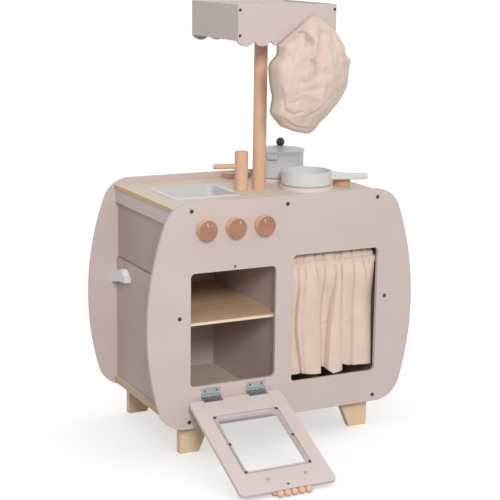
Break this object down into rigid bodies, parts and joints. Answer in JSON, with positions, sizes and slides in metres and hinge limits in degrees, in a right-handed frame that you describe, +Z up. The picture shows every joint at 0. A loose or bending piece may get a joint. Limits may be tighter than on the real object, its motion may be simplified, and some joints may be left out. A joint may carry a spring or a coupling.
{
  "type": "toy kitchen",
  "caption": "Wooden toy kitchen with barrel-shaped panels, drop-down oven door, curtained cupboard, sink with swivelling tap, hob with pot and pan, and a scalloped hood on a post.",
  "frame": {"origin": "on the floor, under the middle of the cabinet between its front and rear panel", "axes": "+X to the right seen from the front, +Y to the back, +Z up"},
  "size_m": [0.65, 0.6396, 0.9615],
  "materials": {
    "mauve_paint": "satin lacquer",
    "plywood": "oiled",
    "beech": "oiled",
    "stained_wood": "stained",
    "grey_paint": "satin lacquer",
    "dark_paint": "satin lacquer",
    "white_plastic": "matte",
    "clear_pane": "clear",
    "cotton": "woven",
    "cord": "twisted",
    "dark_steel": "black oxide",
    "zinc": "zinc plated"
  },
  "bodies": {
    "cabinet": {"front_panel": "mauve_paint", "rear_panel": "mauve_paint", "divider": "mauve_paint", "left_rail": "mauve_paint", "right_rail": "mauve_paint", "left_upper_side": "mauve_paint", "right_upper_side": "mauve_paint", "left_lower_side": "mauve_paint", "right_lower_side": "mauve_paint", "hood_front": "mauve_paint", "hood_rear": "mauve_paint", "hood_left": "mauve_paint", "hood_right": "mauve_paint", "hood_top": "mauve_paint", "worktop": "plywood", "bottom_board": "plywood", "oven_shelf": "plywood", "front_left_foot": "beech", "front_right_foot": "beech", "rear_left_foot": "beech", "rear_right_foot": "beech", "post": "beech", "hat_peg": "beech", "curtain_rod": "beech", "front_hob_plate": "stained_wood", "rear_hob_plate": "stained_wood", "side_hook": "grey_paint", "curtain": "cotton", "rod_brackets": "white_plastic", "panel_screws": "dark_steel", "hood_screws": "dark_steel", "hinge_fixed_leaves": "zinc", "hinge_pins": "zinc", "catch_magnet": "zinc", "post_bolt": "zinc"},
    "oven_door": {"door_panel": "mauve_paint", "door_window": "clear_pane", "window_screws": "dark_steel", "hinge_door_leaves": "zinc", "catch_plate": "zinc", "handle_cord": "cord", "handle_beads": "beech"},
    "left_dial": {"left_knob": "beech", "left_knob_bolt": "zinc"},
    "middle_dial": {"middle_knob": "beech", "middle_knob_bolt": "zinc"},
    "right_dial": {"right_knob": "beech", "right_knob_bolt": "zinc"},
    "tap": {"tap_column": "beech", "tap_spout": "beech", "tap_bolt": "zinc"},
    "left_tap_handle": {"left_tap_handle": "stained_wood"},
    "right_tap_handle": {"right_tap_handle": "stained_wood"},
    "hob_knob": {"hob_knob": "stained_wood"},
    "sink": {"sink_basin": "white_plastic"},
    "pot": {"pot": "grey_paint"},
    "pot_lid": {"pot_lid": "grey_paint", "lid_knob": "dark_paint"},
    "pan": {"pan": "grey_paint"},
    "hat": {"hat": "cotton"}
  },
  "joints": [
    {"name": "oven_door_hinge", "type": "hinge", "parent": "cabinet", "child": "oven_door", "pos_m": [-0.1255, -0.1814, 0.137], "axis": [-1, 0, 0], "range_deg": [0, 114.4]},
    {"name": "left_dial_turn", "type": "hinge", "parent": "cabinet", "child": "left_dial", "pos_m": [-0.195, -0.179, 0.5014], "axis": [0, -1, 0], "continuous": true},
    {"name": "middle_dial_turn", "type": "hinge", "parent": "cabinet", "child": "middle_dial", "pos_m": [-0.1268, -0.179, 0.5014], "axis": [0, -1, 0], "continuous": true},
    {"name": "right_dial_turn", "type": "hinge", "parent": "cabinet", "child": "right_dial", "pos_m": [-0.0586, -0.179, 0.5014], "axis": [0, -1, 0], "continuous": true},
    {"name": "tap_swivel", "type": "hinge", "parent": "cabinet", "child": "tap", "pos_m": [-0.027, -0.0073, 0.5465], "axis": [0, 0, 1], "range_deg": [-60, 60]},
    {"name": "left_tap_handle_turn", "type": "hinge", "parent": "cabinet", "child": "left_tap_handle", "pos_m": [0.024, 0.152, 0.5465], "axis": [0, 0, 1], "continuous": true},
    {"name": "right_tap_handle_turn", "type": "hinge", "parent": "cabinet", "child": "right_tap_handle", "pos_m": [0.06, 0.152, 0.5465], "axis": [0, 0, 1], "continuous": true},
    {"name": "hob_knob_turn", "type": "hinge", "parent": "cabinet", "child": "hob_knob", "pos_m": [0.2157, -0.0387, 0.5465], "axis": [0, 0, 1], "continuous": true},
    {"name": "sink_lift", "type": "slide", "parent": "cabinet", "child": "sink", "axis": [0, 0, 1], "range_m": [0, 0.04]},
    {"name": "pot_lift", "type": "slide", "parent": "cabinet", "child": "pot", "axis": [0, 0, 1], "range_m": [0, 0.12]},
    {"name": "pot_lid_lift", "type": "slide", "parent": "pot", "child": "pot_lid", "axis": [0, 0, 1], "range_m": [0, 0.08]},
    {"name": "pan_lift", "type": "slide", "parent": "cabinet", "child": "pan", "axis": [0, 0, 1], "range_m": [0, 0.12]},
    {"name": "hat_lift", "type": "slide", "parent": "cabinet", "child": "hat", "axis": [0, 0, 1], "range_m": [0, 0.05]}
  ]
}
